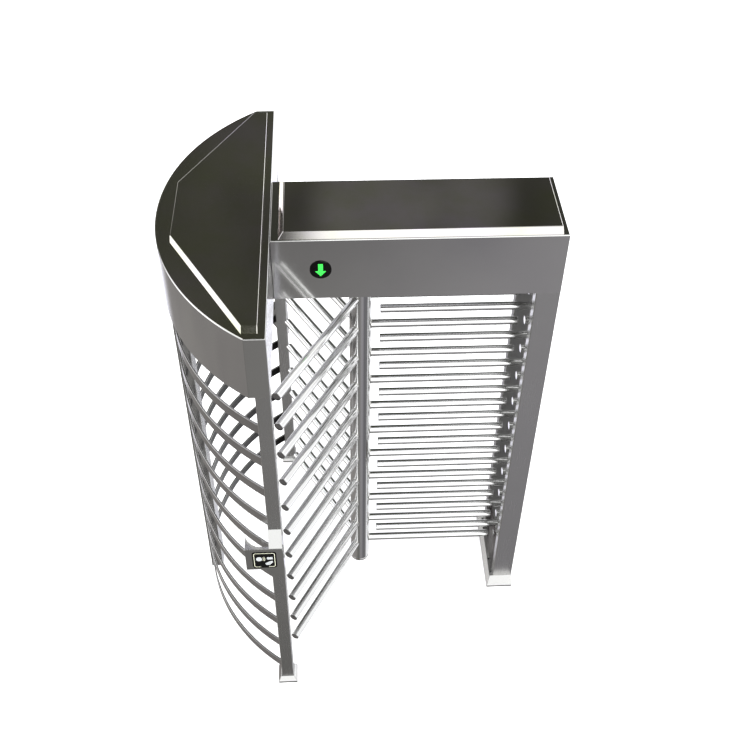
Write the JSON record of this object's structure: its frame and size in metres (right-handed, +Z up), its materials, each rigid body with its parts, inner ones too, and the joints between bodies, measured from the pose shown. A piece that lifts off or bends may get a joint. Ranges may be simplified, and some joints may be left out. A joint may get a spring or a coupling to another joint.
{
  "type": "full-height turnstile",
  "caption": "Full-height stainless turnstile: three-wing rotor, fixed comb, half-round barred cage, D-shaped canopy, header beam with signal lamps, card readers.",
  "frame": {"origin": "on the floor, on the rotor's axis, which is also the centre of the whole footprint", "axes": "+X towards the fixed comb and its two posts, +Y through the passage from the front reader to the rear reader, +Z up"},
  "size_m": [1.606, 1.583, 2.32],
  "materials": {
    "brushed_stainless": "304 stainless sheet and tube, fine satin brushing",
    "polished_stainless": "304 stainless tube and flat bar, polished nearly bright",
    "zinc_plate": "bright zinc-plated steel plate",
    "gear_steel": "machined steel, lightly oiled",
    "bronze": "turned bronze",
    "cast_aluminium": "die-cast, bead blasted",
    "black_screw": "black oxide screw heads",
    "black_acrylic": "black acrylic window with printed symbols",
    "black_plastic": "moulded black plastic",
    "lit_green": "lit green arrow",
    "board_green": "printed circuit board",
    "white_nylon": "machined nylon"
  },
  "bodies": {
    "frame": {"canopy_shell": "brushed_stainless", "canopy_soffit": "brushed_stainless", "canopy_lid": "brushed_stainless", "header_shell": "brushed_stainless", "header_soffit": "brushed_stainless", "header_lid": "brushed_stainless", "front_left_post": "brushed_stainless", "rear_left_post": "brushed_stainless", "side_left_post": "brushed_stainless", "front_right_post": "brushed_stainless", "rear_right_post": "brushed_stainless", "comb_post": "brushed_stainless", "left_base_plates": "zinc_plate", "right_base_plate": "zinc_plate", "left_foot_covers": "brushed_stainless", "right_foot_cover": "brushed_stainless", "foot_cover_screws": "black_screw", "kick_panel": "brushed_stainless", "cage_bars_front": "polished_stainless", "cage_bars_rear": "polished_stainless", "comb_bars": "polished_stainless", "comb_bar_caps": "polished_stainless", "comb_stubs": "polished_stainless", "floor_pivot_plate": "brushed_stainless", "pivot_pin": "gear_steel", "front_reader_housing": "brushed_stainless", "rear_reader_housing": "brushed_stainless", "reader_windows": "black_acrylic", "reader_boards": "board_green", "lamp_rims": "black_plastic", "lamp_lenses": "black_acrylic", "lamp_arrows": "lit_green", "pawl_pins": "gear_steel", "lock_solenoids": "black_plastic", "mechanism_deck": "zinc_plate", "deck_pillars": "zinc_plate", "top_bearing": "gear_steel", "damper_body": "cast_aluminium", "step_counter_body": "black_plastic", "control_box": "black_plastic", "control_board": "board_green", "power_supply": "cast_aluminium", "service_lock_body": "zinc_plate"},
    "rotor": {"rotor_column": "polished_stainless", "rotor_shaft": "gear_steel", "rotor_foot_bush": "bronze", "wing_a_arms": "polished_stainless", "wing_b_arms": "polished_stainless", "wing_c_arms": "polished_stainless", "arm_end_caps": "polished_stainless", "main_gear": "gear_steel", "index_wheel": "gear_steel"},
    "damper_wheel": {"damper_pinion": "gear_steel"},
    "counter_wheel": {"counter_pinion": "white_nylon"},
    "entry_catch": {"entry_pawl": "gear_steel"},
    "exit_catch": {"exit_pawl": "gear_steel"},
    "entry_core": {"entry_plunger": "gear_steel"},
    "exit_core": {"exit_plunger": "gear_steel"},
    "service_lock": {"service_lock_barrel": "bronze"}
  },
  "joints": [
    {"name": "rotor_spin", "type": "hinge", "parent": "frame", "child": "rotor", "pos_m": [0, 0, 0], "axis": [0, 0, 1], "continuous": true},
    {"name": "damper_spin", "type": "hinge", "parent": "frame", "child": "damper_wheel", "pos_m": [0.15, 0, 2.09], "axis": [0, 0, 1], "continuous": true},
    {"name": "counter_spin", "type": "hinge", "parent": "frame", "child": "counter_wheel", "pos_m": [-0.15, 0, 2.09], "axis": [0, 0, 1], "continuous": true},
    {"name": "entry_pawl_swing", "type": "hinge", "parent": "frame", "child": "entry_catch", "pos_m": [0.084, 0.106, 2.125], "axis": [0, 0, 1], "range_deg": [0, 12], "stiffness_Nm_per_rad": 2},
    {"name": "exit_pawl_swing", "type": "hinge", "parent": "frame", "child": "exit_catch", "pos_m": [0.084, -0.106, 2.125], "axis": [0, 0, -1], "range_deg": [0, 12], "stiffness_Nm_per_rad": 2},
    {"name": "entry_plunger_pull", "type": "slide", "parent": "frame", "child": "entry_core", "axis": [0, 1, 0], "range_m": [0, 0.0084]},
    {"name": "exit_plunger_pull", "type": "slide", "parent": "frame", "child": "exit_core", "axis": [0, -1, 0], "range_m": [0, 0.0084]},
    {"name": "service_lock_turn", "type": "hinge", "parent": "frame", "child": "service_lock", "pos_m": [0.43, 0.12, 2.01], "axis": [0, 0, 1], "range_deg": [0, 90]}
  ],
  "couplings": [
    {"joint": "damper_spin", "follows": "rotor_spin", "ratio": -4},
    {"joint": "counter_spin", "follows": "rotor_spin", "ratio": -4},
    {"joint": "entry_plunger_pull", "follows": "entry_pawl_swing", "m_per_rad": 0.0396},
    {"joint": "exit_plunger_pull", "follows": "exit_pawl_swing", "m_per_rad": 0.0396}
  ]
}
